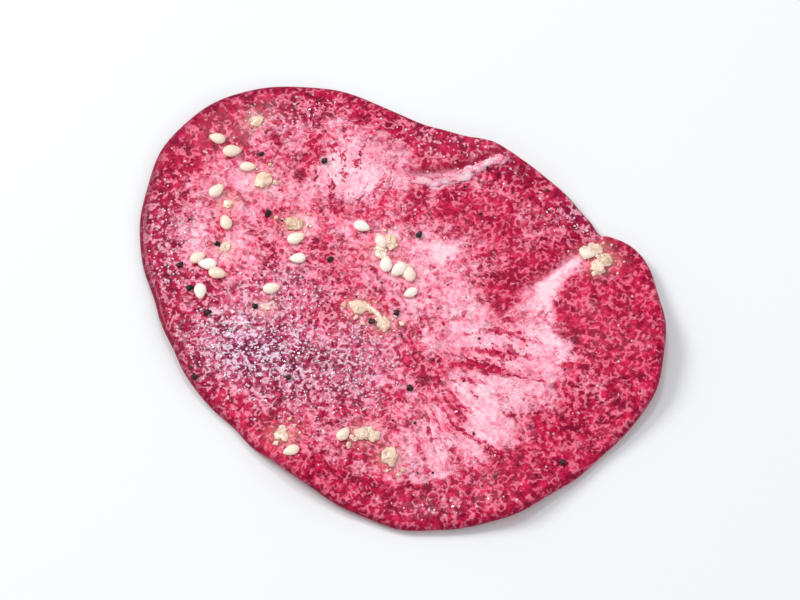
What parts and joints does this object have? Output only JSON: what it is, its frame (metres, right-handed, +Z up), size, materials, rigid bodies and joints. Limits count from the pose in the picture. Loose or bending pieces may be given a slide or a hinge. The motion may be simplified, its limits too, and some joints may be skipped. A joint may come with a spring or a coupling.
{
  "type": "salted beef tongue slice",
  "caption": "Thin oval slice of raw salted beef tongue with a dark red rim, marbled pink middle, one crease and a curled edge, sprinkled with sesame, garlic flakes and cracked pepper.",
  "frame": {"origin": "on the surface the slice lies on, under the middle of its outline", "axes": "+Z up through the cut face, +X along the slice's widest extent, towards the lobe past the crease"},
  "size_m": [0.0946, 0.0896, 0.0053],
  "materials": {
    "tongue_flesh": "wet, fine grained, marbled raw meat, dark crimson at the rim and pale pink in the middle",
    "sesame_seed": "smooth satin hull",
    "garlic_flake": "wet, translucent",
    "cracked_pepper": "rough, matt"
  },
  "bodies": {
    "root": {"tongue_slice": "tongue_flesh"}
  },
  "joints": []
}
